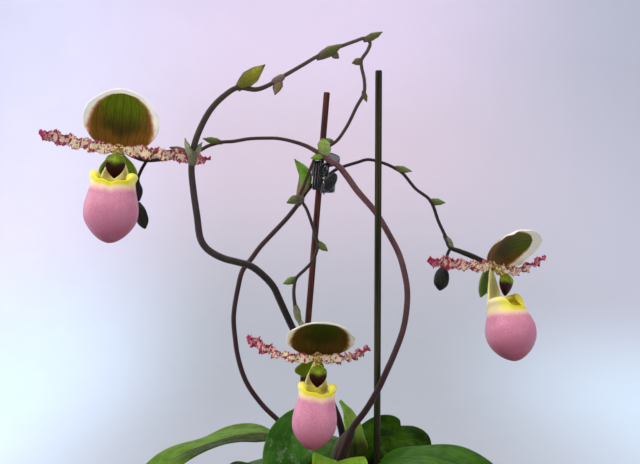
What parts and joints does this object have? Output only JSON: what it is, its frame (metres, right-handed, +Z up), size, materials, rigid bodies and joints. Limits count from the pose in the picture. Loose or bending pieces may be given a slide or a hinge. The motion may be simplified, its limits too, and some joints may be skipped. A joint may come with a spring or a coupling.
{
  "type": "potted slipper orchid",
  "caption": "Slipper orchid in a plain pot, its arching flowering stems held to a stake by a small claw clip.",
  "frame": {"origin": "middle of the pot's flat underside", "axes": "+Z up, the flowers face -Y, +X to the viewer's right"},
  "size_m": [0.2473, 0.1633, 0.3167],
  "materials": {
    "pot": "matt moulded plastic",
    "bark": "rough bark chips",
    "brown_stake": "stained bamboo",
    "green_stake": "dyed bamboo",
    "clip": "glossy black plastic",
    "wire": "plain wire",
    "stem": "fine-haired stem, brown-purple with green bracts",
    "leaf": "satin leaf",
    "dark_leaf": "satin leaf, dark",
    "sepal": "green sepal with a cream rim",
    "petal": "cream petal with maroon spots",
    "pouch": "pink waxy pouch with a yellow rim",
    "staminode": "green and maroon shield",
    "bud": "dark green bud"
  },
  "bodies": {
    "plant": {"pot": "pot", "growing_medium": "bark", "stake_brown": "brown_stake", "stake_green": "green_stake", "flowering_stem_arched": "stem", "flowering_stem_right": "stem", "flowering_stem_left": "stem", "crown_arched": "leaf", "crown_right": "leaf", "crown_left": "leaf", "leaf_long_left": "leaf", "leaf_front_dark": "dark_leaf", "leaf_small_left": "dark_leaf", "leaf_big_right": "leaf", "leaf_wavy_back_right": "dark_leaf", "leaf_small_upright": "leaf", "leaf_low_front": "leaf", "leaf_back_left": "dark_leaf", "leaf_back": "dark_leaf", "leaf_back_right": "dark_leaf", "flower_left_dorsal_sepal": "sepal", "flower_left_synsepal": "sepal", "flower_left_petal_left": "petal", "flower_left_petal_right": "petal", "flower_left_pouch": "pouch", "flower_left_column": "staminode", "flower_bottom_dorsal_sepal": "sepal", "flower_bottom_synsepal": "sepal", "flower_bottom_petal_left": "petal", "flower_bottom_petal_right": "petal", "flower_bottom_pouch": "pouch", "flower_bottom_column": "staminode", "flower_right_dorsal_sepal": "sepal", "flower_right_synsepal": "sepal", "flower_right_petal_left": "petal", "flower_right_petal_right": "petal", "flower_right_pouch": "pouch", "flower_right_column": "staminode", "bud_left": "bud", "bud_right": "bud", "clip_fixed_jaw": "clip", "clip_pin": "wire", "clip_spring": "wire"},
    "clip_jaw": {"clip_moving_jaw": "clip"}
  },
  "joints": [
    {"name": "clip_hinge", "type": "hinge", "parent": "plant", "child": "clip_jaw", "pos_m": [-0.005, -0.0012, 0.2468], "axis": [0.0818, 0, 0.9966], "range_deg": [-28, 0], "stiffness_Nm_per_rad": 0.002}
  ]
}
